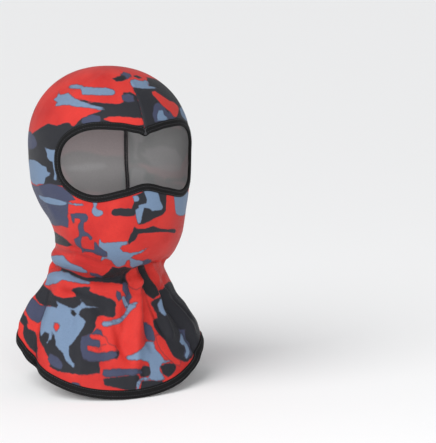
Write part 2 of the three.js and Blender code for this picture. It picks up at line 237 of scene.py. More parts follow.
# The centre seam runs from the brow over the crown and down the back, where the twisted cloth carries it
# towards the wearer's left
seam = {
    "browEnd": 56,
    "backEnd": 295,
    "headTurn": 37,  # degrees off the middle of the back, from the head level to the neck level
    "hemTurn": 16,
    "driftFrom": 60,  # degrees off the face where the cloth's columns start to turn with it
    "headLevel": 62,
    "neckLevel": 130,
    "hemLevel": 290,
    "crownFade": (1.5, 6),  # depths over which its groove begins at the crown
    "browFade": (66, 74),  # and ends under the brow
    "groove": 0.55,
    "grooveWidth": 0.9,
    "ridge": 0.45,  # the allowance lifts the cloth on one side
    "ridgeAt": 3.2,
    "ridgeWidth": 2.2,
    "allowance": 5.2,
    "allowanceThickness": 1.3,
    "allowanceGap": 0.12,
    "allowanceSpacing": 1.6,
}


def seamDegrees(below):
    toHead = smooth(below, 0, seam["headLevel"])
    toHem = smooth(below, seam["neckLevel"], seam["hemLevel"])
    return 180 - toHead * (seam["headTurn"] - (seam["headTurn"] - seam["hemTurn"]) * toHem)


# smooth unevenness from a few seeded waves through space
def unevenness(points, waveLength, seed, waves=14):
    rng = np.random.default_rng(seed)
    total = np.zeros(points.shape[:-1])
    for _ in range(waves):
        direction = unit(rng.normal(size=3))
        length = waveLength * rng.uniform(0.7, 1.5)
        total += np.sin(points @ direction * (2 * math.pi / length) + rng.uniform(0, 2 * math.pi))
    return total / math.sqrt(waves)


slack = {
    "taut": 0.12,  # millimetres of unevenness where the cloth is stretched
    "loose": 0.55,  # and how much more of it there is under the jaw
    "from": 196,
    "to": 236,
    "waves": [(0.7, 34, 5), (0.35, 15, 8)],  # share, wave length, seed
}


def foldHeight(degrees, below, base):
    height = np.zeros(np.shape(degrees))
    for rise, width, path in folds.values():
        height += rise * bell(distanceToPath(degrees, below, path), width)
    depth = slack["taut"] + slack["loose"] * smooth(below, slack["from"], slack["to"])
    return height + depth * sum(share * unevenness(base, length, seed)
                                for share, length, seed in slack["waves"])


def seamHeight(degrees, below):
    behind = turnedFrom(degrees, seamDegrees(below)) * degreeWidth(below)
    ahead = turnedFrom(degrees) * degreeWidth(below)
    onBack, onBrow = (seam["ridge"] * bell(off + side * seam["ridgeAt"], seam["ridgeWidth"])
                      - seam["groove"] * bell(off, seam["grooveWidth"])
                      for off, side in ((behind, 1), (ahead, -1)))
    return smooth(below, *seam["crownFade"]) * (onBack + onBrow * (1 - smooth(below, *seam["browFade"])))


# point on the outside of the cloth as it hangs
def clothPoint(degrees, below):
    degrees, below = np.broadcast_arrays(np.asarray(degrees, float), np.asarray(below, float))
    base = hoodPoint(degrees, below)
    normal = slopesOf(hoodPoint, degrees, np.clip(below, 0.4, hood["hemBelow"]))[2]
    flat = np.minimum(below, hood["hemBelow"])
    height = foldHeight(degrees, flat, base) + seamHeight(degrees, flat)
    return base + normal * height[..., None]


def meshPiece(name, points, faces, materials, whichMaterial=None):
    mesh = bpy.data.meshes.new(name)
    mesh.from_pydata((np.asarray(points) * toMetres).tolist(), [], faces)
    mesh.shade_smooth()
    for material in materials:
        mesh.materials.append(material)
    if whichMaterial is not None:
        mesh.polygons.foreach_set("material_index", np.asarray(whichMaterial, np.int32))
    mesh.validate()
    mesh.update()
    piece = bpy.data.objects.new(name, mesh)
    bpy.context.scene.collection.objects.link(piece)
    return piece


def putNumbers(piece, name, values):
    layer = piece.data.attributes.new(name, "FLOAT", "POINT")
    layer.data.foreach_set("value", np.asarray(values, np.float32))


def settle(piece, slot, *nodes):
    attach(piece, "root")
    if nodes:
        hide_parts(*nodes)
    return piece


# Where the eye opening's cloth edge runs, from the brow round the wearer's left to the bridge of the nose
eyeOpening = {
    "halfEdge": [(0, 65), (19, 60.5), (41, 61.5), (56, 74), (62, 97), (56.5, 118.5), (39, 131), (17, 125.5),
                 (0, 119.5)],
    "notchDrop": 2.4,  # the ends of the tape turn down in a small point at the brow
    "notchWidth": 2.6,
    "middleLevel": 90,  # parts the brow from the nose
    "clearOfEdge": 0.35,  # cloth within this of the edge is cut away
    "halfArea": 80,  # degrees and depths that hold the whole opening
    "areaFrom": 50,
    "areaTo": 145,
}
tape = {
    "width": 6.8,
    "thickness": 0.75,
    "clearance": 0.12,
    "puff": 0.28,
    "needleRows": (-5.4, -1.6),
    "pull": 0.3,  # the stitches draw the tape in
    "pullWidth": 0.7,
    "endDrop": 0.5,
    "endWidth": 0.5,
    "foldReach": 1.25,  # how far the fold stands past the cloth's edge
    "foldInside": 0.1,
    "topPoints": 15,
    "foldPoints": 9,
    "spacing": 0.8,  # between sections of the tape
    "joinGap": 0.25,
    "ribPitch": 1.1,
}


# closed centripetal curve through points in degrees and depth
def roundCurve(points, perSpan=60):
    line = np.array(points, float)
    count = len(line)
    out = []
    for i in range(count):
        p0, p1, p2, p3 = (line[(i + k) % count] for k in (-1, 0, 1, 2))
        d0, d1, d2 = (math.sqrt(np.linalg.norm(b - a)) for a, b in ((p0, p1), (p1, p2), (p2, p3)))
        m1 = ((p1 - p0) / d0 - (p2 - p0) / (d0 + d1) + (p2 - p1) / d1) * d1
        m2 = ((p2 - p1) / d1 - (p3 - p1) / (d1 + d2) + (p3 - p2) / d2) * d1
        t = (np.arange(perSpan) / perSpan)[:, None]
        out.append(hermite(t, p1, m1, p2, m2))
    return np.concatenate(out)


# how far the edge turns down in its small point at the brow
def notchAt(degrees, below):
    near = bell(turnedFrom(degrees), eyeOpening["notchWidth"])
    return near * (below < eyeOpening["middleLevel"]) * eyeOpening["notchDrop"]


def eyeOutline():
    left = eyeOpening["halfEdge"]
    right = [(-a, b) for a, b in left[-2:0:-1]]
    line = roundCurve(left + right)
    line[:, 1] += notchAt(line[:, 0], line[:, 1])
    return line


# millimetres gone along a line of points
def runAlong(points):
    steps = np.linalg.norm(np.diff(points, axis=0), axis=-1)
    return np.concatenate([np.zeros_like(steps[:1]), np.cumsum(steps, axis=0)])


# places at equal spacing along a line on the cloth
def evenPlaces(line, spacing, closed=False, trim=0.0):
    path = np.vstack([line, line[:1]]) if closed else np.asarray(line, float)
    run = runAlong(clothPoint(path[:, 0], path[:, 1]))
    steps = max(int(round((run[-1] - 2 * trim) / spacing)), 2)
    at = np.linspace(trim, run[-1] - trim, steps + 1)
    return np.interp(at, run, path[:, 0]), np.interp(at, run, path[:, 1]), at


# places along an edge of the cloth, with the slopes there and the way across the edge
def edgeFrames(degrees, below):
    around, down, normal = slopesOf(hoodPoint, degrees, below)
    along = unit(np.gradient(hoodPoint(degrees, below), axis=0))
    return {"degrees": degrees, "below": below, "around": around, "down": down,
            "across": unit(np.cross(along, normal))}


# values known along a run, read at other places on it
def between(values, run, at):
    if np.ndim(values) == 1:
        return np.interp(at, run, values)
    return np.stack([np.interp(at, run, column) for column in values.T], -1)


def edgeAt(edge, run, at):
    return {key: between(values, run, at) for key, values in edge.items()}


# points at a distance across the edge, measured over the cloth, and at a height off it
def besideEdge(edge, across, height):
    around, down, away = edge["around"], edge["down"], edge["across"]
    aa, dd, ad = (around * around).sum(-1), (down * down).sum(-1), (around * down).sum(-1)
    wantAround, wantDown = (away * around).sum(-1) * across, (away * down).sum(-1) * across
    scale = aa * dd - ad * ad
    degrees = edge["degrees"] + (wantAround * dd - wantDown * ad) / scale
    below = edge["below"] + (wantDown * aa - wantAround * ad) / scale
    normal = slopesOf(hoodPoint, degrees, below)[2]
    return clothPoint(degrees, below) + normal * np.asarray(height)[..., None], normal


# skins a run of rings of points into a closed body
def ringFaces(rings, size, first=0):
    faces = []
    for r in range(rings - 1):
        a, b = first + r * size, first + (r + 1) * size
        faces += [(a + i, a + (i + 1) % size, b + (i + 1) % size, b + i) for i in range(size)]
    faces.append(tuple(first + i for i in range(size))[::-1])
    faces.append(tuple(first + (rings - 1) * size + i for i in range(size)))
    return faces


tipShare = 0.35  # a thread's ends narrow to this share of its radius


# Round threads: centre lines in rows of equal length, each with the way that is up
def threads(name, lines, ups, radius, finish, sides=6):
    points, faces = [], []
    turns = np.arange(sides) * 2 * math.pi / sides
    for line, up in zip(lines, ups):
        along = unit(np.gradient(line, axis=0))
        side = unit(np.cross(along, up))
        rise = np.cross(side, along)
        thick = np.full(len(line), radius)
        thick[[0, -1]] *= tipShare
        ring = side[:, None] * np.cos(turns)[None, :, None] + rise[:, None] * np.sin(turns)[None, :, None]
        faces += ringFaces(len(line), sides, len(points) * len(line) * sides)
        points.append((line[:, None] + ring * thick[:, None, None]).reshape(-1, 3))
    return meshPiece(name, np.concatenate(points), faces, [finish])


# The printed patches, and patches of painted shade and shadow in the same inks, outlined in degrees round
# the head, from the middle of the face towards the wearer's left, and millimetres under the crown
darkPatches = {
    "templeAndBrow": [
        (-53, 31), (-50, 31), (-41, 33.5), (-31, 34.5), (-18, 35.5), (-13.5, 34), (-10.5, 29.5),
        (-12.5, 27), (-11.5, 24.5), (-5, 24), (-3, 25), (0, 28), (0, 68), (-30, 66), (-58, 84), (-60, 100),
        (-60, 122), (-66, 122.5), (-72, 122), (-79, 124), (-90, 121), (-112, 118), (-124, 102), (-126, 84),
        (-118, 77), (-102, 76), (-92, 70), (-81, 62.5), (-74.5, 58), (-65, 59.5), (-58, 55.5), (-54, 55.5),
        (-53.5, 58.5), (-50.5, 58.5), (-49, 56), (-47, 52), (-45, 50), (-39.5, 46.5), (-33, 43.5),
        (-30, 41), (-41, 36), (-52, 32.5),
    ],
    "browLeft": [
        (0, 19.5), (12, 20.5), (20, 21), (24, 17), (28, 14), (36, 11), (50, 13), (66, 18), (80, 27),
        (92, 30), (100, 44), (92, 60), (84, 82), (72, 100), (60, 104), (58, 74), (41, 64), (0, 68),
    ],
    "slateStreak": [(-84, 150), (-74, 152), (-68, 158), (-66, 165), (-72, 166), (-80, 160)],
    "nape": [
        (-112, 180), (-92, 178), (-77, 180), (-70, 183), (-66, 188), (-73, 190), (-84, 190), (-98, 191),
        (-114, 192),
    ],
    "underNose": [
        (-26.5, 148), (-24.5, 144.5), (-18.7, 143.5), (-11, 144.5), (-9.2, 138.5), (-9.2, 134.5),
        (-8.5, 131), (-5, 129), (-1, 126), (9, 124), (17.5, 128), (17.8, 139.5), (18, 150), (15, 153.5),
        (10, 155), (6, 156.5), (0.5, 160), (-4.5, 161.8), (-7, 161), (-8, 154), (-8, 148.5), (-10, 152),
        (-15.5, 152.5), (-20.2, 151.5), (-25, 151.5), (-26.5, 150),
    ],
    "branch": [
        (-9.5, 163.5), (-7, 166.5), (-1, 167), (6, 164.5), (12, 168), (21, 170.5), (32, 172), (34, 175),
        (31.5, 176.5), (21.5, 173.5), (12.5, 172), (4.5, 171.5), (-1, 171.5), (-6, 172), (-7.5, 177.5),
        (-10, 180.5), (-13, 184), (-13.5, 179), (-12.3, 173.5), (-10.2, 168.5),
    ],
    "leftLine": [(31, 130), (34, 130), (34.5, 142), (32, 143)],
    # part print, part painted shadow where the cloth folds under the jaw
    "underJawInkAndShadow": [
        (-23, 212), (-16.5, 213), (-12, 211), (-5, 213.5), (0, 216.5), (6, 215), (13, 210), (19, 208),
        (22, 214), (20, 221), (11, 222), (2, 222), (-2.5, 223.5), (-2, 230), (1, 236), (-8, 233),
        (-20, 232), (-36, 231), (-46, 231), (-58, 229), (-72, 225.5), (-86, 224), (-86, 221), (-72, 222.5),
        (-58, 226), (-48, 228), (-38, 227), (-33, 222), (-28, 220), (-22, 218),
    ],
    "collar": [
        (-112, 243), (-103, 245), (-86, 245), (-76, 247), (-67.5, 247.5), (-60, 245.5), (-54.5, 244),
        (-56.5, 241), (-60, 240), (-56.5, 237.5), (-47, 235.5), (-40, 235.5), (-40.5, 238.5),
        (-38.5, 239.5), (-32.5, 241), (-20.5, 243.5), (-15, 246), (-14, 248.5), (-15.5, 250), (-14.5, 254),
        (-17.5, 255.5), (-27, 254.5), (-31, 255), (-32, 258.5), (-31, 262), (-33, 265.5), (-40, 268),
        (-60, 262), (-74, 256), (-84, 258), (-96, 260), (-110, 256),
    ],
    "capeLower": [
        (-79, 270), (-72.5, 280), (-66, 282.5), (-61, 286), (-57.5, 289), (-58.5, 292.5), (-53, 293),
        (-45.5, 291.5), (-37.5, 290.5), (-30.5, 289), (-25, 287.5), (-25, 284), (-26, 281.5), (-22, 279),
        (-30, 279), (-36, 280), (-38.5, 275), (-39.5, 271), (-38.5, 268), (-33, 266), (-36, 262),
        (-45, 262), (-60, 262), (-77, 266),
    ],
    "notchPatch": [(-18, 277), (-12, 273.5), (-11, 276), (-14, 279.5)],
    "shoulder": [
        (27, 250), (28.5, 256), (28.5, 260.5), (21, 261.5), (20, 265), (22, 270), (25, 274), (25.5, 280),
        (27, 286), (32.5, 291.5), (37, 295), (50, 297), (66, 297), (84, 290), (100, 284), (104, 268),
        (92, 252), (70, 244), (50, 245), (40, 246),
    ],
    "starFoot": [(14, 287.5), (19.5, 287.5), (26, 290), (27, 293.5), (22, 296), (18, 296), (15, 292)],
    "starSide": [(3, 284.5), (7, 286), (7.5, 290), (5, 291.5), (0, 291), (-0.5, 288)],
    "hemBlue": [
        (0.5, 293.8), (7, 294.6), (12, 296.5), (16, 296.5), (14, 299.5), (8, 300.5), (2, 301.5), (-1, 299),
    ],
    "hemBlack": [
        (-23, 291), (-20, 290.5), (-11.5, 289.5), (-3, 289), (-0.3, 291.3), (-3, 294.5), (-4, 299.3),
        (-10, 298), (-17, 296.3), (-23, 295),
    ],
    "rightFlare": [
        (-93, 283), (-88, 282), (-83, 279), (-79, 280.5), (-74, 284), (-70, 287.5), (-74, 292),
        (-79, 293.5), (-86, 292), (-92, 290),
    ],
    "rightLimb": [(-106, 277), (-96, 277), (-90, 279), (-93, 284), (-100, 285), (-108, 283)],
    "ringHole": [(-74.5, 290), (-71, 290), (-70.5, 294), (-73.5, 294.5)],
}
slatePatches = {
    "cheekSide": [
        (-57, 138), (-60, 147), (-63.5, 156), (-64.5, 163), (-66, 168), (-75, 167), (-88, 170), (-104, 170),
        (-120, 165), (-124, 142), (-106, 128), (-91, 128), (-79, 124), (-72, 121.5), (-66, 122), (-60, 124),
        (-54, 130), (-51, 136),
    ],
    "hook": [
        (-59.5, 152), (-53, 150.5), (-46, 150.5), (-44.5, 154), (-46, 158), (-49, 160.5), (-50, 167),
        (-49, 170), (-45, 172.5), (-42.5, 177), (-44.5, 179.5), (-47, 174.5), (-52.5, 176), (-54.5, 182),
        (-54, 188), (-53, 195), (-55, 196), (-57, 191), (-60.5, 185), (-61.5, 180), (-56, 176), (-55, 172),
        (-55.5, 167), (-54, 163), (-51.5, 158.5), (-52.5, 155.5), (-56.5, 156.5), (-58, 162), (-60, 163),
    ],
    "jawBlob": [
        (-41, 180), (-38.5, 183), (-38, 186), (-35, 188.5), (-31.5, 191.5), (-30.5, 194), (-31.5, 197.5),
        (-35, 199), (-40, 198), (-44, 195), (-53, 194), (-53, 190), (-47, 190), (-42, 190), (-41.5, 184),
    ],
    "chinSide": [(3, 205.5), (9, 203), (15, 206), (17, 211), (11, 214), (5, 213)],
    "throat": [
        (-44, 217), (-36, 218), (-30, 222), (-22, 224), (-14, 226), (-20, 228), (-34, 227), (-42, 224),
    ],
    "capeMiddle": [
        (-40, 268), (-33, 265.5), (-30, 262.5), (-26, 263), (-24, 266), (-20, 272), (-14, 274.5),
        (-13, 277), (-17, 279.5), (-24, 280.5), (-30, 281.5), (-36, 281), (-39, 275),
    ],
    "capeBar": [
        (12, 260), (17, 261.5), (18.5, 265), (18, 268.5), (16.8, 272.5), (13, 271.5), (12, 268), (11, 264),
    ],
    "hemStrip": [
        (-23, 285.5), (-12.5, 285), (-6.7, 285.5), (0, 286.3), (2.3, 288.5), (0, 289.3), (-11, 289.3),
        (-20, 290), (-23.5, 289.3),
    ],
    "capeShade": [(-60, 284), (-54, 284), (-49, 287), (-50, 291), (-56, 291.5), (-60, 289)],
    "sideShade": [
        (-106, 261), (-94, 261), (-86, 257), (-82, 260), (-80, 268), (-84, 272), (-92, 275), (-100, 274),
        (-108, 268),
    ],
    "collarSpur": [(-6, 244), (-2, 243), (1, 246.5), (-1, 251), (-5, 249)],
    "shoulderBlob": [
        (41, 277), (47, 275), (52, 279), (48, 284), (51, 290), (45, 294.5), (38, 294), (35, 290), (40, 287),
        (39, 282),
    ],
    "hemDash": [(-44, 297), (-38, 296.5), (-37, 299.5), (-43, 300.5)],
    "browHaze": [(13, 38), (19, 35), (24, 41), (26, 50), (24, 55), (9, 55), (9, 47)],
    "browChip": [(27, 45), (32, 47), (33, 53), (26, 54), (25, 49)],
    "seamHaze": [(-14, 27), (-8, 25), (-3, 27), (-3.5, 33), (-9, 34), (-14, 32)],
    "browShade": [(-45, 50), (-38, 46), (-32, 47), (-31, 53), (-38, 57), (-46, 56)],
    "throatStreak": [(-7, 232), (-2, 233), (1, 238), (3, 244), (-1, 246), (-4, 242), (-8, 238)],
    "throatDrop": [(-14, 238), (-10, 240), (-9, 244), (-12, 246), (-14.5, 242)],
    "templeShade": [(-112, 72), (-100, 70), (-90, 74), (-84, 82), (-92, 88), (-106, 90), (-116, 84)],
    "crownSpot": [(-6, 7), (4, 5), (14, 6.5), (10, 9), (2, 11), (-6, 11)],
}
lightPatches = {
    "crownBar": [
        (-72, 20), (-69, 18), (-62, 17), (-54, 18), (-50, 19.5), (-26, 19.5), (-20, 21.5), (-19, 25),
        (-22, 27), (-30, 27), (-50, 26.5), (-51, 24), (-54, 21.5), (-65, 21.5),
    ],
    "crownStar": [
        (-79, 25), (-73, 28.5), (-65, 25.5), (-59, 29), (-52, 32), (-41, 35.5), (-29, 39), (-28.5, 41.5),
        (-33, 41.5), (-41, 39.5), (-52, 39), (-59, 37.5), (-66, 38.5), (-74, 40.5), (-71.5, 36),
        (-79, 33.5), (-76, 30),
    ],
    "seamPatch": [
        (3, 12.5), (10, 12), (18, 14), (27, 13), (27, 16.5), (20, 17.5), (22, 19), (30, 21), (31, 23),
        (20, 21.5), (10, 21), (0, 20), (0, 15),
    ],
    "browTooth": [(16, 43), (21, 43), (20, 49), (25, 51.5), (25, 54), (11, 54), (13, 48)],
    "browLimb": [(48, 44), (60, 44), (75, 55), (70, 62), (52, 58), (44, 52)],
    "templeBolt": [
        (-76, 83), (-73, 84), (-67, 85), (-63, 83.5), (-61, 81), (-62.5, 87), (-64, 91.5), (-65, 98),
        (-65.5, 104), (-64.5, 111), (-65, 117), (-68, 117), (-66.5, 110), (-67.5, 102), (-68, 97.5),
        (-71, 97), (-73.5, 93), (-73, 89.5),
    ],
    "earPatch": [
        (-104, 101), (-92, 99.5), (-86, 100), (-80, 103), (-74, 104.5), (-74, 109), (-70.5, 110),
        (-71, 112.5), (-76, 116), (-79, 123.5), (-85, 124), (-90, 127), (-98, 127), (-112, 124),
        (-114, 112),
    ],
    "cheekStrip": [
        (-92, 137), (-84, 137.5), (-76, 137), (-68, 137.5), (-60, 139), (-52, 140), (-46, 139.5),
        (-46, 141.5), (-52, 142.5), (-58, 141), (-64, 144), (-74, 145), (-84, 144), (-94, 141),
    ],
    "comma": [
        (-38.5, 136), (-35, 136), (-36, 141), (-37, 144), (-35.5, 146), (-33.5, 146), (-32, 148),
        (-33.5, 151), (-37, 153), (-39.5, 152.5), (-41, 149), (-40, 145), (-38.5, 141),
    ],
    "noseBead": [(-10, 131), (-6.5, 130), (-5, 134), (-6, 137), (-9, 137.5), (-9.5, 134)],
    "mouth": [
        (-2, 126), (2, 124), (9.5, 125), (10.5, 131.5), (12, 138), (15, 146), (13.5, 148.5), (8, 148),
        (5, 148.5), (3, 145.5), (-1.5, 144.3), (-2.7, 148), (-3.5, 154), (-4.5, 160.5), (-7, 161),
        (-8, 154), (-8.7, 145.5), (-5.5, 143.5), (-6, 141), (0, 139), (0.5, 135.5), (-0.5, 131),
    ],
    "leftStripe": [
        (25, 129), (45, 131), (60, 140), (58, 160), (45, 160), (36, 158), (31, 155), (29, 150), (27, 140),
    ],
    "jaw": [
        (-36.5, 177), (-35, 181), (-31.5, 181), (-19, 180), (-14, 179.5), (-14, 183.5), (-18, 184.5),
        (-20, 187.5), (-17.5, 191.5), (-10.5, 193.5), (-3, 192.5), (5, 188), (-1, 194.5), (-7, 196.3),
        (-9.5, 199.5), (-2.5, 203), (4, 205), (6.5, 207.5), (7, 211), (4, 214.5), (0, 215), (-5, 212),
        (-8, 205.5), (-10, 202), (-12, 203.5), (-12, 209.5), (-16.5, 211.5), (-19.5, 211.3), (-22, 208),
        (-26, 203), (-29, 202), (-33, 203), (-36, 206), (-35.5, 200), (-31, 198), (-30.5, 194),
        (-31.5, 191.5), (-35, 188.5), (-38, 185),
    ],
    "napeBand": [
        (-112, 210), (-104, 208), (-91, 204), (-80, 202.5), (-71.5, 205.5), (-63, 208.5), (-53, 211.5),
        (-46, 215.5), (-46, 218), (-51, 219.5), (-60, 218.5), (-70, 218), (-83, 218.5), (-97, 218),
        (-112, 222),
    ],
    "neckStrip": [
        (-104, 232), (-97, 226), (-84, 224), (-72.5, 225), (-59, 228.5), (-49.5, 230), (-42, 231.5),
        (-42, 233.5), (-49.5, 233), (-61, 232.5), (-72.5, 231.5), (-78, 236), (-92, 240), (-106, 244),
    ],
    "capePanel": [
        (-73.5, 250.5), (-64.5, 251.5), (-56.5, 252.5), (-53, 252.5), (-47.5, 249.5), (-47.5, 247),
        (-49.5, 245.5), (-42, 249), (-31, 249.5), (-41, 250.5), (-45, 252), (-47, 255.5), (-45, 256.5),
        (-39.5, 259), (-40.5, 263), (-42, 267), (-44, 271), (-47.5, 275), (-46.5, 280), (-44.5, 282.5),
        (-41, 285), (-41.5, 287.5), (-45.5, 285.5), (-48, 284.5), (-50, 281.5), (-52.5, 279.5),
        (-57.5, 278), (-59, 274.5), (-61.5, 272), (-63.5, 271), (-62, 275), (-64, 280), (-65, 279.5),
        (-64, 276), (-65, 273), (-69, 273.5), (-71, 277.5), (-75, 275), (-80, 268), (-83, 262),
        (-83.5, 258), (-73.5, 256), (-69, 255.5), (-68.5, 253.5),
    ],
    "capeArc": [
        (-27.5, 258.5), (-21, 257.5), (-14.7, 257), (-9.3, 255.5), (-5, 253.5), (-2.2, 251), (-0.5, 248.5),
        (4, 247.3), (8, 247), (4.5, 250.2), (0.8, 252.3), (-2.8, 255), (-7.3, 257.7), (-11.5, 259.3),
        (-16.8, 260), (-21, 261), (-25, 260.7),
    ],
    "capeStar": [
        (-8, 278), (-1, 276.8), (3.5, 275.3), (10, 271.8), (13, 271), (15.8, 273.3), (15, 277),
        (17.5, 281.3), (18.5, 285), (27, 288), (20, 287.3), (16.5, 286.5), (13.8, 288), (13.5, 290.5),
        (15.5, 294.2), (16.5, 296.3), (12, 296.3), (7, 294.3), (0.5, 293.5), (-1.5, 296.5), (-2.8, 300.2),
        (-4, 299.5), (-3, 294), (0.3, 291.4), (5, 292), (7, 290.5), (7, 286.5), (7.5, 283.5), (2, 281.3),
        (-4.5, 280.5),
    ],
    "arcLimb": [(-9, 243), (-6, 242), (-3, 245), (-0.5, 249), (-4, 250), (-7, 247)],
    "shoulderRing": [
        (37, 280), (43, 277), (47, 279), (43, 282), (45, 287), (43, 292), (38, 293.5), (35, 291),
        (39.5, 289), (41, 285), (38, 283),
    ],
    "shoulderStrip": [
        (34, 249.5), (38, 251), (38.5, 257), (37, 261), (32.5, 262), (30.5, 257.5), (31, 252),
    ],
}
redPatches = {
    "browLens": [
        (-30, 50), (-25, 48), (-19, 47.5), (-11, 48.5), (-1, 50), (0, 51), (0, 57), (-6, 57.5), (-14, 57),
        (-20, 55.5), (-25, 53), (-29, 51),
    ],
    "browFork": [
        (19, 24.5), (24, 24), (30, 30), (36, 35), (43, 37), (48, 43), (42, 47), (38, 50), (33, 52.5),
        (29, 50), (30, 46), (25, 42.5), (22, 38), (20, 33), (17.5, 27),
    ],
    "throatSpot": [
        (-2.5, 223.5), (2, 222), (11, 222.5), (17.5, 228), (16, 235), (8, 239), (1, 236), (-1.5, 230),
    ],
    "panelChip": [(-65.5, 266), (-62, 264.5), (-59, 266), (-60, 268), (-60.5, 270), (-63, 268.5)],
    "clawHigh": [
        (-34, 266), (-32, 265.5), (-24, 266), (-20, 268), (-20, 271), (-25, 271.5), (-26, 269),
        (-30, 268.5), (-34, 268.5),
    ],
    "clawLow": [
        (-34.5, 272.5), (-30, 272.5), (-26, 273), (-20, 270.5), (-14, 272), (-12, 275), (-16, 274.5),
        (-22, 275.5), (-29, 276), (-34, 275),
    ],
    "shoulderStreak": [
        (18.5, 269.5), (22, 270), (25, 274), (25.5, 280), (27, 286), (32.5, 291.5), (30, 293.5),
        (25.5, 290), (22.5, 286.5), (20.5, 282.3), (18.8, 278.5), (17.5, 274),
    ],
}
# Near-black ink in a few small chips, and the same ink as painted shadow under the chin and painted shade on
# the crown
deepInkAndShadePatches = {
    "panelChip": [(-56.5, 254), (-52.5, 254), (-49, 255.5), (-50.5, 257.5), (-54, 256.5)],
    "chinShadow": [
        (-24, 214), (-14, 212.5), (-5, 215), (2, 219), (10, 220), (16, 216), (22, 213.5), (27, 216),
        (24, 221), (17, 222.5), (10, 221.5), (2, 220.5), (-5, 222), (-12, 226), (-22, 228), (-30, 227),
        (-30, 221),
    ],
    "tuckDark": [
        (17, 223), (22, 221), (28, 224), (31, 230), (33, 238), (34, 246), (29, 248), (24, 244), (21, 238),
        (18, 240), (16, 245), (13, 241), (16, 234), (19, 229),
    ],
    # painted shade on the crown beside the seam
    "crownShade": [(-20, 11), (-12, 9), (-5, 7.5), (1, 8.5), (-2, 11.5), (-8, 13), (-16, 13.5)],
    "crownChip": [(13, 9), (22, 8.5), (26, 10.5), (18, 11.5)],
}

# The print and its painted shade come again on the wearer's left and round the back: layer, patch, how far
# round, how much lower
repeats = [
    ("dark", "templeAndBrow", 200, -4), ("red", "browLens", 200, -4), ("light", "earPatch", 200, -4),
    ("light", "templeBolt", 200, -4), ("light", "crownStar", 200, -4), ("light", "crownBar", 196, 0),
    ("dark", "browLeft", 150, 4), ("red", "browFork", 150, 4), ("light", "browLimb", 150, 4),
    ("light", "browTooth", 150, 4), ("slate", "browHaze", 150, 4), ("light", "seamPatch", 176, 24),
    ("dark", "underNose", 128, 0), ("light", "mouth", 128, 0), ("dark", "branch", 128, 0),
    ("slate", "jawBlob", 190, -20), ("light", "jaw", 165, -14), ("dark", "underNose", 212, -4),
    ("light", "mouth", 212, -4), ("slate", "hook", 260, -12), ("light", "comma", 262, -8),
    ("dark", "nape", 288, -4), ("light", "napeBand", 284, -6), ("dark", "underJawInkAndShadow", 190, -2),
    ("light", "neckStrip", 284, -4), ("slate", "cheekSide", 250, -18), ("light", "cheekStrip", 250, -18),
    ("slate", "throat", 200, -12), ("light", "jaw", 128, -10), ("slate", "hook", 158, 4),
    ("dark", "collar", 262, 0), ("light", "capePanel", 255, 0), ("slate", "capeMiddle", 262, 0),
    ("dark", "capeLower", 245, 3), ("light", "capeStar", 220, 0), ("slate", "hemStrip", 200, 0),
    ("light", "capeArc", 170, 0), ("light", "capeStar", 128, -2), ("dark", "capeLower", 190, 2),
    ("slate", "capeShade", 180, 0), ("slate", "hemStrip", 130, 2), ("slate", "sideShade", 218, -4),
    ("slate", "cheekSide", 190, 8), ("light", "cheekStrip", 190, 8), ("dark", "nape", 188, 0),
    ("slate", "hook", 150, 30), ("light", "napeBand", 186, 2), ("dark", "branch", 74, -40),
    ("dark", "hemBlack", 186, 2), ("red", "clawLow", 262, 0), ("red", "panelChip", 255, 0),
]
printLayers = {"dark": darkPatches, "slate": slatePatches, "light": lightPatches, "red": redPatches,
               "deep": deepInkAndShadePatches}


farOff = 9.0  # millimetres, beyond this the distance to an outline makes no difference
nearby = {"degrees": 16, "below": 12}  # places this near to a patch are measured against it


# how deep inside the patches of one colour each place lies, in millimetres
def patchDepth(layer, degrees, below):
    outlines = list(printLayers[layer].values())
    for kind, name, turn, drop in repeats:
        if kind == layer:
            outlines.append([(a + turn, b + drop) for a, b in printLayers[kind][name]])
    depth = np.full(np.shape(degrees), -farOff)
    flatD, flatB, flatDepth = degrees.ravel(), below.ravel(), depth.ravel()
    for outline in outlines:
        line = np.array(outline, float)
        (left, top), (right, foot) = line.min(axis=0), line.max(axis=0)
        near = np.abs(turnedFrom(flatD, (left + right) / 2)) < (right - left) / 2 + nearby["degrees"]
        near &= (flatB > top - nearby["below"]) & (flatB < foot + nearby["below"])
        if near.any():
            found = -distanceToPath(flatD[near], flatB[near], outline, closed=True)
            flatDepth[near] = np.maximum(flatDepth[near], found)
    return np.clip(flatDepth.reshape(np.shape(degrees)), -farOff, farOff)


# Wraps a socket, so that shader maths reads as an expression
class Shade:
    def __init__(self, finish, socket):
        self.finish = finish
        self.socket = socket

    def sum(self, how, first, second):
        return self.finish.node("ShaderNodeMath", {"operation": how}, {0: first, 1: second})

    def __add__(self, other):
        return self.sum("ADD", self, other)

    def __radd__(self, other):
        return self.sum("ADD", other, self)

    def __sub__(self, other):
        return self.sum("SUBTRACT", self, other)

    def __rsub__(self, other):
        return self.sum("SUBTRACT", other, self)

    def __mul__(self, other):
        return self.sum("MULTIPLY", self, other)

    def __rmul__(self, other):
        return self.sum("MULTIPLY", other, self)


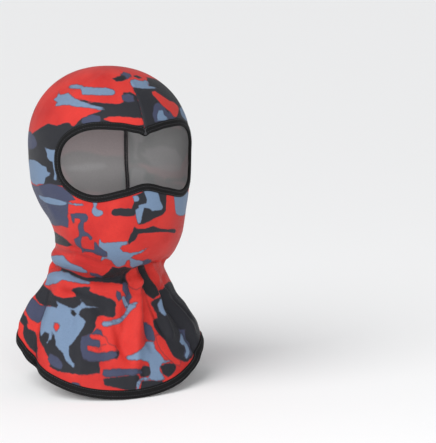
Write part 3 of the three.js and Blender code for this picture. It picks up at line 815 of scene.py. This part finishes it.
# One material and the tools to fill it
class Finish:
    def __init__(self, name):
        self.material = bpy.data.materials.new(name)
        self.material.use_nodes = True
        self.tree = self.material.node_tree
        self.tree.nodes.clear()

    # any node: its type, its settings first, then the values or links of its sockets
    def node(self, kind, settings=None, sockets=None, output=0):
        made = self.tree.nodes.new(kind)
        for key, value in (settings or {}).items():
            setattr(made, key, value)
        for key, value in (sockets or {}).items():
            if isinstance(value, Shade):
                self.tree.links.new(value.socket, made.inputs[key])
            else:
                made.inputs[key].default_value = value
        return Shade(self, made.outputs[output]) if len(made.outputs) else None

    def number(self, name):
        return self.node("ShaderNodeAttribute", {"attribute_name": name}, output="Fac")

    def place(self):
        return self.node("ShaderNodeTexCoord", output="Object")

    def noise(self, scale, detail=2.0, roughness=0.5):
        return self.node("ShaderNodeTexNoise", None,
                         {"Vector": self.place(), "Scale": scale, "Detail": detail, "Roughness": roughness})

    def step(self, value, low, high):
        return self.node("ShaderNodeMapRange", {"interpolation_type": "SMOOTHSTEP"},
                         {"Value": value, "From Min": low, "From Max": high})

    # noise seen only between two levels, as specks or wear
    def specks(self, scale, detail, low, high, roughness=0.5):
        return self.step(self.noise(scale, detail, roughness), low, high)

    # a value that wanders by a spread
    def varied(self, value, scale, detail, spread):
        return value + (self.noise(scale, detail) - 0.5) * spread

    def wave(self, value, pitch):
        return self.node("ShaderNodeMath", {"operation": "SINE"}, {0: value * (2 * math.pi / pitch)})

    def size(self, value):
        return self.node("ShaderNodeMath", {"operation": "ABSOLUTE"}, {0: value})

    def mix(self, share, first, second):
        return self.node("ShaderNodeMix", {"data_type": "RGBA"}, {0: share, 6: first, 7: second}, output=2)

    def bump(self, height, depth, strength=1.0, under=None):
        sockets = {"Height": height, "Distance": depth, "Strength": strength}
        if under is not None:
            sockets["Normal"] = under
        return self.node("ShaderNodeBump", None, sockets)

    def surface(self, sockets):
        shader = self.node("ShaderNodeBsdfPrincipled", None, sockets)
        self.node("ShaderNodeOutputMaterial", None, {"Surface": shader})
        return self.material


def colour(code):
    parts = [int(code[i:i + 2], 16) / 255 for i in (0, 2, 4)]
    return tuple(c / 12.92 if c <= 0.04045 else ((c + 0.055) / 1.055) ** 2.4 for c in parts) + (1.0,)


printed = {
    "red": "C82F28",
    "redDeep": "B42320",
    # near-black ink, also used for the painted shadow under the jaw
    "dark": "202127",
    "slate": "3C4159",
    "light": "6C829D",
    # near-black ink, also used for the painted shadow under the chin and the painted shade on the crown
    "deep": "17181C",
    "edge": "2C2933",
    "edgeShare": 0.45,
    "edgeFrom": 0.15,  # millimetres from the outline where the darker line starts to fade, and ends
    "edgeTo": 0.85,
    "softness": 0.28,  # half the width of the change from one ink to the next
    "ragged": 0.9,  # millimetres that the ink edge wanders
    "raggedScale": 230,
    "fineRagged": 0.25,
    "fineScale": 900,
    "redScale": 26,  # clouds of the deeper red
    "speck": "15151A",
    "speckScale": 700,
    "speckShare": 0.1,
    "roughness": 0.5,
    "shineSpread": 0.16,
    "sheen": 0.03,
    "specular": 0.22,
    "walePitch": 0.62,
    "coursePitch": 0.5,
    "courseShare": 0.35,  # height of the courses beside that of the wales
    "knitDepth": 0.00012,
    "pillScale": 420,
    "pillDepth": 0.0003,
}


# the print and its painted shade: each ink over the one before, with a thin darker line where two inks meet
def inkedColour(finish):
    wander = (finish.noise(printed["raggedScale"], 3.0) - 0.5) * (2 * printed["ragged"])
    wander = finish.varied(wander, printed["fineScale"], 2.0, 2 * printed["fineRagged"])
    edge = colour(printed["edge"])
    tone = finish.mix(finish.specks(printed["redScale"], 3.0, 0.35, 0.7), colour(printed["red"]),
                      colour(printed["redDeep"]))
    for layer in printLayers:
        depth = finish.number(layer) + wander
        rim = 1 - finish.step(finish.size(depth), printed["edgeFrom"], printed["edgeTo"])
        rim = rim * printed["edgeShare"]
        ink = finish.mix(rim, colour(printed[layer]), edge)
        tone = finish.mix(rim, tone, edge)
        tone = finish.mix(finish.step(depth, -printed["softness"], printed["softness"]), tone, ink)
    return tone


def knitHeight(finish):
    wale = finish.size(finish.wave(finish.number("wale"), 2 * printed["walePitch"]))
    course = finish.wave(finish.number("course"), printed["coursePitch"])
    return (wale + course * printed["courseShare"]) * finish.number("grain")


def printedJersey():
    finish = Finish("printed jersey")
    tone = inkedColour(finish)
    specks = finish.specks(printed["speckScale"], 2.0, 0.3, 0.8) * printed["speckShare"]
    tone = finish.mix(specks, tone, colour(printed["speck"]))
    shine = finish.varied(printed["roughness"], 60, 3.0, printed["shineSpread"])
    soft = finish.bump(finish.noise(printed["pillScale"], 3.0), printed["pillDepth"], 0.25)
    return finish.surface({"Base Color": tone, "Roughness": shine, "Sheen Weight": printed["sheen"],
                           "Specular IOR Level": printed["specular"],
                           "Normal": finish.bump(knitHeight(finish), printed["knitDepth"], 0.8, soft)})


wrongSide = {
    "grey": "D6D5D6",
    "pinkish": "D8CBCC",
    "greenish": "B9BFBF",
    "ghosts": [("dark", 0.8, "greenish"), ("slate", 0.6, "greenish"), ("light", 0.7, "grey")],
    "ghostBlur": 3,  # millimetres over which a layer comes through
    "blotScale": 34,
    "blotSpread": 5,
    "speck": "5A585B",
    "speckScale": 900,
    "speckShare": 0.12,
    "roughness": 0.8,
    "shineSpread": 0.1,
    "sheen": 0.1,
    "knitDepth": 0.00016,
}


# the back of the print, where only a breath of the inks, and of the painted shade among them, shows through
def jerseyBack():
    finish = Finish("jersey wrong side")
    blot = (finish.noise(wrongSide["blotScale"], 2.0) - 0.5) * wrongSide["blotSpread"]
    tone = colour(wrongSide["pinkish"])
    for layer, share, ghost in wrongSide["ghosts"]:
        seen = finish.step(finish.number(layer) + blot, -wrongSide["ghostBlur"], wrongSide["ghostBlur"])
        tone = finish.mix(seen * share, tone, colour(wrongSide[ghost]))
    specks = finish.specks(wrongSide["speckScale"], 2.0, 0.3, 0.8) * wrongSide["speckShare"]
    tone = finish.mix(specks, tone, colour(wrongSide["speck"]))
    shine = finish.varied(wrongSide["roughness"], 90, 2.0, wrongSide["shineSpread"])
    return finish.surface({"Base Color": tone, "Roughness": shine, "Sheen Weight": wrongSide["sheen"],
                           "Normal": finish.bump(knitHeight(finish), wrongSide["knitDepth"], 0.9)})


binding = {
    "black": "0B0B0C",
    "worn": "161619",
    "wearScale": 170,
    "wearShare": 0.6,
    "roughness": 0.72,
    "shineSpread": 0.14,
    "specular": 0.2,
    "ribDepth": 0.00022,
    "weftPitch": 0.55,
    "weftShare": 0.3,  # height of the weft beside that of the ribs
}


def elasticTape():
    finish = Finish("elastic binding")
    wear = finish.specks(binding["wearScale"], 4.0, 0.5, 0.8, roughness=0.6) * binding["wearShare"]
    tone = finish.mix(wear, colour(binding["black"]), colour(binding["worn"]))
    ribs = finish.size(finish.wave(finish.number("along"), 2 * tape["ribPitch"]))
    weft = finish.wave(finish.number("over"), binding["weftPitch"]) * binding["weftShare"]
    shine = finish.varied(binding["roughness"], 240, 2.0, binding["shineSpread"])
    return finish.surface({"Base Color": tone, "Roughness": shine, "Specular IOR Level": binding["specular"],
                           "Normal": finish.bump(ribs + weft, binding["ribDepth"], 0.8)})


thread = {
    "needle": "1D1D21",
    "looper": "19191C",
    "lit": "3A3A40",  # the strands that catch the light
    "litShare": 0.5,
    "needleScale": 2600,
    "looperScale": 1900,
    "roughness": 0.55,
    "shineSpread": 0.3,
    "sheen": 0.1,
    "strandDepth": 0.0001,
}


def blackThread(kind):
    finish = Finish(kind + " thread")
    strands = finish.noise(thread[kind + "Scale"], 2.0)
    tone = finish.mix(finish.step(strands, 0.35, 0.7) * thread["litShare"], colour(thread[kind]),
                      colour(thread["lit"]))
    shine = thread["roughness"] + (strands - 0.5) * thread["shineSpread"]
    return finish.surface({"Base Color": tone, "Roughness": shine, "Sheen Weight": thread["sheen"],
                           "Normal": finish.bump(strands, thread["strandDepth"], 0.6)})


finishes = {
    "jersey": printedJersey(),
    "back": jerseyBack(),
    "tape": elasticTape(),
    "needle": blackThread("needle"),
    "looper": blackThread("looper"),
}
print("finishes made")


# The cloth: one sheet from crown to hem with an outer face, an inner face and cut edges between them
def columnAngles():
    even = np.linspace(-180, 180, hood["columns"], endpoint=False)
    close = np.array(hood["closeColumns"])
    extra = np.concatenate([close, -close, 180 - close, close - 180])
    return np.unique(np.round(np.concatenate([even, extra]), 4))


def rowDepths():
    rows = hood["domeRows"]
    dome = hood["domeHeight"] * (1 - np.cos(math.pi / 2 * np.arange(1, rows + 1) / rows))
    body = np.linspace(hood["domeHeight"], hood["hemBelow"], hood["bodyRows"] + 1)[1:]
    return np.concatenate([dome, body])


def makeCloth():
    columns, rows = columnAngles(), rowDepths()
    below, column = np.meshgrid(rows, columns, indexing="ij")
    drift = seamDegrees(below) - 180
    degrees = column + drift * smooth(np.abs(column), seam["driftFrom"], 180)
    outer = clothPoint(degrees, below)
    around = np.roll(outer, -1, axis=1) - np.roll(outer, 1, axis=1)
    normal = unit(-np.cross(around, np.gradient(outer, axis=0)))
    inner = outer - normal * hood["thickness"]
    crown = clothPoint(np.array([0.0]), np.array([0.01]))[0]
    crown[:2] = 0
    count = outer.shape[0] * outer.shape[1] + 1
    points = np.concatenate([[crown], outer.reshape(-1, 3), [crown - (0, 0, hood["thickness"])],
                             inner.reshape(-1, 3)])
    width = len(columns)
    number = 1 + np.arange(len(rows) * width).reshape(len(rows), width)
    right = np.roll(number, -1, axis=1)
    quads = np.stack([number[:-1], number[1:], right[1:], right[:-1]], -1).reshape(-1, 4)
    hole = np.full(below.shape, farOff)
    front = (np.abs(degrees) < eyeOpening["halfArea"]) & (below > eyeOpening["areaFrom"])
    front &= below < eyeOpening["areaTo"]
    hole[front] = distanceToPath(degrees[front], below[front], eyeOutline()[::4], closed=True)
    kept = np.concatenate([[farOff], hole.ravel()])
    quads = quads[(kept[quads] > eyeOpening["clearOfEdge"]).all(axis=1)]
    fans = np.stack([np.zeros(width, int), number[0], right[0]], -1)
    outerFaces = [tuple(f) for f in quads.tolist()] + [tuple(f) for f in fans.tolist()]
    edges = np.concatenate([quads[:, [i, (i + 1) % 4]] for i in range(4)]
                           + [fans[:, [i, (i + 1) % 3]] for i in range(3)])
    keys = edges.min(axis=1) * count + edges.max(axis=1)
    _, first, times = np.unique(keys, return_index=True, return_counts=True)
    rims = edges[first[times == 1]]
    rimFaces = [(b, a, a + count, b + count) for a, b in rims.tolist()]
    innerFaces = [tuple(v + count for v in reversed(f)) for f in outerFaces]
    faces = outerFaces + innerFaces + rimFaces
    which = [0] * len(outerFaces) + [1] * (len(innerFaces) + len(rimFaces))
    used = np.zeros(2 * count, bool)
    used[np.concatenate([quads.ravel(), fans.ravel()])] = True
    used[count:] = used[:count]
    renumber = np.cumsum(used) - 1
    faces = [tuple(renumber[list(f)].tolist()) for f in faces]
    piece = meshPiece("jersey_hood", points[used], faces, [finishes["jersey"], finishes["back"]], which)
    facts = {"wale": degrees * hood["waleWidth"], "course": runAlong(outer),
             "grain": smooth(below, *hood["grainFade"])}
    for layer in printLayers:
        facts[layer] = patchDepth(layer, degrees, below)
    for name, values in facts.items():
        skin = np.concatenate([[values[0].mean()], values.ravel()])
        putNumbers(piece, name, np.concatenate([skin, skin])[used])
    return piece


cloth = settle(makeCloth(), "printed_jersey", "hood_cloth")
print("cloth made:", len(cloth.data.polygons), "faces")


# Outline of the folded tape: across the edge and off the cloth, puffed between the rows of stitches
def tapeSection():
    across = np.linspace(-tape["width"], 0, tape["topPoints"])
    rows = np.array(tape["needleRows"])
    pulled = bell(across[:, None] - rows, tape["pullWidth"]).sum(1)
    ends = 1 - bell(across + tape["width"], tape["endWidth"]) * tape["endDrop"]
    puff = tape["thickness"] + tape["clearance"] + tape["puff"] - tape["pull"] * pulled
    top = np.stack([across, puff * ends], -1)
    under = -hood["thickness"]
    half = (top[-1, 1] + (top[-1, 1] - under)) / 2
    turn = np.linspace(math.pi / 2, -math.pi / 2, tape["foldPoints"])[1:-1]
    fold = np.stack([np.cos(turn) * tape["foldReach"], top[-1, 1] - half + np.sin(turn) * half], -1)
    bottom = top[::-1] * (1, -1) + (0, under)
    near, far, low = tape["foldInside"], -tape["width"], under - tape["clearance"]
    inside = np.array([(far, low), (near, low), (near, tape["clearance"]), (far, tape["clearance"])])
    return np.concatenate([top, fold, bottom, inside])


def makeTape(name, edge, run):
    section = tapeSection()
    rings = [besideEdge(edge, across, np.full(len(run), height))[0] for across, height in section]
    points = np.stack(rings, 1)
    faces = ringFaces(len(run), len(section))
    piece = meshPiece(name, points.reshape(-1, 3), faces, [finishes["tape"]])
    putNumbers(piece, "along", np.repeat(run, len(section)))
    putNumbers(piece, "over", np.tile(runAlong(section), len(run)))
    return piece


# One row of needle stitches: each a short arch of thread that dips into the tape at its ends
stitch = {
    "pitch": 2.7,
    "length": 2.25,
    "radius": 0.24,
    "lift": 0.3,
    "sink": 0.28,
    "samples": 7,
    "startGap": 0.6,
    "endGap": 0.4,
    "archShape": 0.6,
    "looperPitch": 1.5,
    "looperRadius": 0.26,
    "looperSteps": 3,  # between one turn of the zigzag and the next
    "looperLift": 0.9,  # share of its radius that the looper stands off the tape
    "looperGap": 1.0,
}


def tapeTop(across):
    top = tapeSection()[:tape["topPoints"]]
    return np.interp(across, top[:, 0], top[:, 1])


def makeStitches(name, edge, run, across, finish):
    line, normal = besideEdge(edge, across, np.full(len(run), tapeTop(across)))
    starts = np.arange(run[0] + stitch["startGap"], run[-1] - stitch["length"] - stitch["endGap"],
                       stitch["pitch"])
    share = np.linspace(0, 1, stitch["samples"])
    at = starts[:, None] + share * stitch["length"]
    ups = unit(between(normal, run, at))
    arch = np.sin(math.pi * share)
    lift = stitch["lift"] * arch ** stitch["archShape"] - stitch["sink"] * (1 - arch)
    return threads(name, between(line, run, at) + ups * lift[:, None], ups, stitch["radius"], finish)


def makeLooper(name, edge, run, rows, finish):
    count = int((run[-1] - run[0] - 2 * stitch["looperGap"]) / stitch["looperPitch"]) * 2
    share = np.arange(count * stitch["looperSteps"] + 1) / stitch["looperSteps"]
    at = run[0] + stitch["looperGap"] + share * stitch["looperPitch"] / 2
    swing = 0.5 - 0.5 * np.cos(math.pi * share)
    across = rows[0] + (rows[1] - rows[0]) * swing
    height = -hood["thickness"] - tapeTop(-tape["width"] / 2) - stitch["looperRadius"] * stitch["looperLift"]
    line, normal = besideEdge(edgeAt(edge, run, at), across, np.full(len(at), height))
    return threads(name, [line], [normal], stitch["looperRadius"], finish, sides=5)


def dressEdge(name, line, closed, cadName):
    degrees, below, run = evenPlaces(line, tape["spacing"], closed, tape["joinGap"] / 2)
    edge = edgeFrames(degrees, below)
    made = [settle(makeTape(name + "_binding_tape", edge, run), "elastic_binding", cadName)]
    for i, across in enumerate(tape["needleRows"], 1):
        row = makeStitches(f"{name}_needle_stitches_{i}", edge, run, across, finishes["needle"])
        made.append(settle(row, "sewing_thread", f"{cadName}_needle_thread_{i}"))
    looper = makeLooper(name + "_looper_stitches", edge, run, tape["needleRows"], finishes["looper"])
    made.append(settle(looper, "sewing_thread", f"{cadName}_looper_thread"))
    return made


eyePieces = dressEdge("eye", eyeOutline(), True, "eye_binding")
hemJoin = float(seamDegrees(hood["hemBelow"]))  # where the centre seam meets the hem
hemTurns = np.linspace(-180, 180, 500) + hemJoin - 180
hemLine = np.stack([hemTurns, np.full(len(hemTurns), hood["hemBelow"])], -1)
hemPieces = dressEdge("hem", hemLine, False, "hem_binding")
print("bindings and their stitches made")


# The overlocked centre seam inside the hood, its places closer together near the crown
def seamLine():
    front = np.stack([np.zeros(60), seam["browEnd"] * np.linspace(1, 0.004, 60) ** 1.6], -1)
    depths = seam["backEnd"] * np.linspace(0.012, 1, 300) ** 1.5
    return np.concatenate([front, np.stack([seamDegrees(depths), depths], -1)])


def seamFrames(spacing):
    line = seamLine()
    points = clothPoint(line[:, 0], line[:, 1])
    normal = slopesOf(hoodPoint, line[:, 0], np.maximum(line[:, 1], 0.5))[2]
    run = runAlong(points)
    at = np.arange(0, run[-1], spacing)
    place, up = between(points, run, at), unit(between(normal, run, at))
    along = unit(np.gradient(place, axis=0))
    return place, up, unit(np.cross(along, up)), at


def besideSeam(frames, across, height):
    place, up, side, _ = frames
    return place + side * np.asarray(across)[..., None] + up * np.asarray(height)[..., None]


overlock = {
    "startAcross": 0.7,
    "endAcross": 0.5,  # how far the loops swing out past the allowance
    "pitch": 2.1,
    "stepsPerLoop": 8,
    "radius": 0.34,
    "turnLift": 0.25,  # the loops close on the edge of the allowance
    "levels": [("upper", 0.22, 0.0), ("lower", 0.55, 0.5)],  # looper, height off the allowance, phase
    "endGap": 0.5,
    "needlePitch": 2.4,
    "needleLength": 2.0,
    "needleAcross": 0.9,
    "needleRadius": 0.25,
    "needleArch": 0.28,
    "needleSink": 0.15,
    "needleHeight": 0.1,
    "needleEndGap": 3,
    "turnFrom": 0.8,  # share of the swing where a loop starts to turn
    "fine": 0.3,  # spacing of the places that the threads are read from
}


# the same seam read at other places along it
def seamAt(frames, at):
    return tuple(between(values, frames[3], at) for values in frames[:3]) + (at,)


def makeAllowance():
    frames = seamFrames(seam["allowanceSpacing"])
    wide, thick = seam["allowance"], seam["allowanceThickness"]
    base = -hood["thickness"] - seam["allowanceGap"]
    outline = [(0.2, base), (wide * 0.5, base), (wide, base - 0.15), (wide + 0.25, base - thick * 0.5),
               (wide, base - thick), (wide * 0.5, base - thick - 0.1), (0.2, base - thick * 0.8)]
    count = len(frames[3])
    points = np.stack([besideSeam(frames, np.full(count, a), np.full(count, h)) for a, h in outline], 1)
    piece = meshPiece("centre_seam_allowance", points.reshape(-1, 3), ringFaces(count, len(outline)),
                      [finishes["back"]])
    plain = np.zeros(count * len(outline))
    facts = {"course": np.repeat(frames[3], len(outline)),
             "wale": np.tile([0, 2.6, 5.2, 5.8, 6.4, 9, 11.6], count),
             "grain": plain + 1, "dark": plain - farOff, "slate": plain - farOff, "light": plain}
    for name, values in facts.items():
        putNumbers(piece, name, values)
    return piece


def makeSeamThreads():
    fine = seamFrames(overlock["fine"])
    end = fine[3][-1]
    under = -hood["thickness"] - seam["allowanceGap"] - seam["allowanceThickness"]
    share = np.linspace(0, 1, stitch["samples"])
    starts = np.arange(overlock["endGap"], end - overlock["needleEndGap"], overlock["needlePitch"])
    at = starts[:, None] + share * overlock["needleLength"]
    frames = seamAt(fine, at)
    lift = overlock["needleSink"] - overlock["needleArch"] * np.sin(math.pi * share)
    height = under - overlock["needleHeight"] + lift + np.zeros(at.shape)
    needle = threads("centre_seam_needle_stitches",
                     besideSeam(frames, np.full(at.shape, overlock["needleAcross"]), height),
                     frames[1], overlock["needleRadius"], finishes["needle"])
    settle(needle, "sewing_thread", "centre_seam_needle_thread")
    steps = int(end / overlock["pitch"] * overlock["stepsPerLoop"])
    frames = seamAt(fine, np.linspace(overlock["endGap"], end - overlock["endGap"], steps))
    loops = np.arange(steps) / overlock["stepsPerLoop"]
    reach = seam["allowance"] + overlock["endAcross"] - overlock["startAcross"]
    for name, level, phase in overlock["levels"]:
        swing = np.abs(((loops + phase) % 1) * 2 - 1)
        across = overlock["startAcross"] + reach * swing
        height = under - level + overlock["turnLift"] * smooth(swing, overlock["turnFrom"], 1)
        piece = threads(f"centre_seam_{name}_looper", [besideSeam(frames, across, height)], [frames[1]],
                        overlock["radius"], finishes["looper"], sides=5)
        settle(piece, "sewing_thread", f"centre_seam_{name}_looper_thread")


allowance = settle(makeAllowance(), "printed_jersey")
makeSeamThreads()
print("centre seam made")


# Bar tacks: a block of tight stitches across each join of the tape
tack = {
    "rows": 9,
    "rowPitch": 0.42,
    "from": -6.1,
    "to": 0.2,
    "radius": 0.26,
    "reach": 6,  # millimetres of edge measured out to each side of the join
    "perMillimetre": 4,
    "samples": 12,
    "lift": 0.32,
    "dip": 0.5,
    "dipShape": 0.3,
}


def makeTack(name, degrees, below, node):
    out = np.linspace(-tack["reach"], tack["reach"], 2 * tack["reach"] * tack["perMillimetre"] + 1)
    turns = degrees + out / degreeWidth(below)
    edge = edgeFrames(turns, below + notchAt(turns, below))
    share = np.linspace(0, 1, tack["samples"])
    across = tack["from"] + (tack["to"] - tack["from"]) * share
    ends = 1 - np.sin(math.pi * np.clip(share, 0.02, 0.98)) ** tack["dipShape"]
    height = tapeTop(across) + tack["lift"] - tack["dip"] * ends
    lines, ups = [], []
    for row in range(tack["rows"]):
        at = np.full(len(share), (row - (tack["rows"] - 1) / 2) * tack["rowPitch"])
        line, normal = besideEdge(edgeAt(edge, out, at), across, height)
        lines.append(line)
        ups.append(normal)
    return settle(threads(name, lines, ups, tack["radius"], finishes["needle"]), "sewing_thread", node)


makeTack("brow_tack_stitches", 0.0, eyeOpening["halfEdge"][0][1], "brow_bar_tack")
makeTack("back_tack_stitches", hemJoin, hood["hemBelow"], "back_bar_tack")
print("bar tacks made")

# Floor, light and camera
studio = {
    "floor": "F4F4F4",
    "floorGrain": "ECECEC",
    "floorRoughness": 0.9,
    "floorHalf": 90,  # metres from its middle to a side
    "floorGap": 0.0005,
    "sky": (0.93, 0.94, 0.96, 1.0),
    "skyStrength": 0.42,
    "sunStrength": 2.5,
    "sunSpread": 50,
    "sunTurn": -66,
    "sunRise": 44,
    "fillPower": 10,
    "fillSize": 0.5,
    "fillTurn": -16,
    "fillRise": 12,
    "lampDistance": 1.6,
    "cameraTurn": -22.5,
    "cameraRise": 9.5,
    "cameraDistance": 1.7,
    "lookLevel": -0.19,
    "lookAside": 0.1215,
    "lookUp": 0.0162,
    "lens": 123.3,
}


def directionFrom(turn, rise):
    a, e = math.radians(turn), math.radians(rise)
    return Vector((math.sin(a) * math.cos(e), -math.cos(a) * math.cos(e), math.sin(e)))


def makeStudio():
    low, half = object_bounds()[0].z - studio["floorGap"], studio["floorHalf"]
    points = [(-half, -half, low), (half, -half, low), (half, half, low), (-half, half, low)]
    floorFinish = Finish("pale floor")
    grain = floorFinish.noise(8, 2.0)
    tone = floorFinish.mix(grain * 0.05, colour(studio["floor"]), colour(studio["floorGrain"]))
    floorFinish.surface({"Base Color": tone, "Roughness": studio["floorRoughness"]})
    floor = meshPiece("floor", np.array(points) / toMetres, [(0, 1, 2, 3)], [floorFinish.material])
    world = bpy.data.worlds.new("soft studio")
    world.use_nodes = True
    back = world.node_tree.nodes["Background"]
    back.inputs["Color"].default_value = studio["sky"]
    back.inputs["Strength"].default_value = studio["skyStrength"]
    bpy.context.scene.world = world
    sun = bpy.data.lights.new("sun", "SUN")
    sun.energy = studio["sunStrength"]
    sun.angle = math.radians(studio["sunSpread"])
    fill = bpy.data.lights.new("fill", "AREA")
    fill.energy, fill.size = studio["fillPower"], studio["fillSize"]
    middle = Vector((0, 0, studio["lookLevel"]))
    for lamp, name in ((sun, "sun"), (fill, "fill")):
        holder = bpy.data.objects.new(name, lamp)
        away = directionFrom(studio[name + "Turn"], studio[name + "Rise"])
        holder.location = middle + away * studio["lampDistance"]
        holder.rotation_euler = away.to_track_quat("Z", "Y").to_euler()
        bpy.context.scene.collection.objects.link(holder)


def makeCamera():
    back = directionFrom(studio["cameraTurn"], studio["cameraRise"])
    turn = math.radians(studio["cameraTurn"])
    right = Vector((math.cos(turn), math.sin(turn), 0))
    up = back.cross(right)
    middle = Vector((0, 0, studio["lookLevel"]))
    camera = bpy.data.cameras.new("camera")
    camera.lens = studio["lens"]
    holder = bpy.data.objects.new("camera", camera)
    holder.location = middle + back * studio["cameraDistance"]
    aim = middle + right * studio["lookAside"] + up * studio["lookUp"]
    holder.rotation_euler = (holder.location - aim).to_track_quat("Z", "Y").to_euler()
    bpy.context.scene.collection.objects.link(holder)
    bpy.context.scene.camera = holder


makeStudio()
makeCamera()
bpy.context.scene.view_settings.view_transform = "Standard"
print("studio ready")
